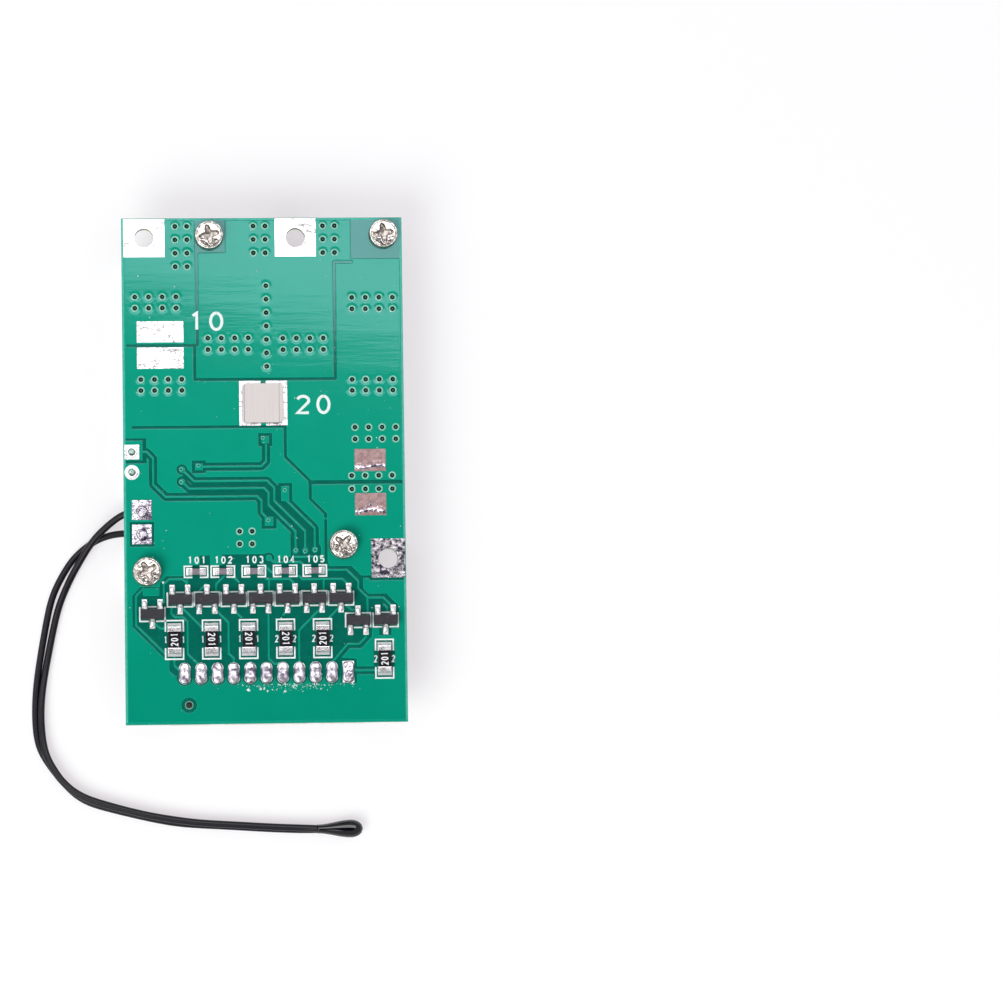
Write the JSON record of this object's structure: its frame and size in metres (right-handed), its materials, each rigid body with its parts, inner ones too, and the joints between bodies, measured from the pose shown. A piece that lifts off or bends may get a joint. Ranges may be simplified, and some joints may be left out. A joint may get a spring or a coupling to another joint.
{
  "type": "battery management board",
  "caption": "Green protection board for a cell pack, solder side up, on a screwed heatsink plate, with a header and a two-wire sensor lead.",
  "frame": {"origin": "middle of the heatsink plate's resting face, below the middle of the circuit board", "axes": "+Z from the resting face up towards the board's solder side; +Y along the board's length, away from the header; +X across the board, away from the sensor lead's two joints"},
  "size_m": [0.046, 0.0763, 0.0093],
  "materials": {
    "board_laminate": "glossy green solder mask over copper, bare laminate edges",
    "plate_aluminium": "satin, sawn edges",
    "pad_silicone": "soft, matte",
    "screw_nickel": "nickel plated steel, slightly dull",
    "via_tin": "tinned copper, bright",
    "pad_tin": "levelled tin, satin",
    "pad_solder": "uneven solder with flux, satin",
    "joint_solder": "bright solder",
    "link_metal": "brushed",
    "legend_ink": "matte ink",
    "chip_black": "fine matte moulding",
    "chip_ceramic": "glazed film over pale ceramic, tinned caps",
    "capacitor_ceramic": "satin ceramic, tinned caps",
    "header_nylon": "satin",
    "pin_brass": "tin-plated brass",
    "wire_jacket": "soft, satin",
    "bead_epoxy": "glossy epoxy"
  },
  "bodies": {
    "root": {"circuit_board": "board_laminate", "heatsink_plate": "plate_aluminium", "thermal_pad": "pad_silicone", "clamp_screws": "screw_nickel", "via_plating": "via_tin", "wire_pad_1": "pad_tin", "wire_pad_2": "pad_tin", "wire_pad_3": "pad_tin", "jumper_pads": "pad_tin", "solder_pads": "pad_solder", "component_lands": "pad_tin", "bridge_plate": "link_metal", "header_joints": "joint_solder", "lead_joints": "joint_solder", "printed_legend": "legend_ink", "resistor_marks": "legend_ink", "header_housing": "header_nylon", "header_pins": "pin_brass", "protection_chip": "chip_black", "lead_wire_a": "wire_jacket", "lead_wire_b": "wire_jacket", "sensor_bead": "bead_epoxy", "transistor_1": "chip_black", "transistor_2": "chip_black", "transistor_3": "chip_black", "transistor_4": "chip_black", "transistor_5": "chip_black", "transistor_6": "chip_black", "transistor_7": "chip_black", "transistor_8": "chip_black", "transistor_9": "chip_black", "transistor_10": "chip_black", "chip_resistor_1": "chip_ceramic", "chip_resistor_2": "chip_ceramic", "chip_resistor_3": "chip_ceramic", "chip_resistor_4": "chip_ceramic", "chip_resistor_5": "chip_ceramic", "balance_resistor_1": "chip_ceramic", "balance_resistor_2": "chip_ceramic", "balance_resistor_3": "chip_ceramic", "balance_resistor_4": "chip_ceramic", "balance_resistor_5": "chip_ceramic", "balance_resistor_6": "chip_ceramic", "power_transistor_1": "chip_black", "power_transistor_2": "chip_black", "power_transistor_3": "chip_black", "power_transistor_4": "chip_black", "power_transistor_5": "chip_black", "power_transistor_6": "chip_black", "power_transistor_7": "chip_black", "power_transistor_8": "chip_black", "current_shunt_1": "chip_ceramic", "current_shunt_2": "chip_ceramic", "current_shunt_3": "chip_ceramic", "balance_chip_1": "chip_black", "balance_chip_2": "chip_black", "capacitor_1": "capacitor_ceramic", "capacitor_2": "capacitor_ceramic"}
  },
  "joints": []
}
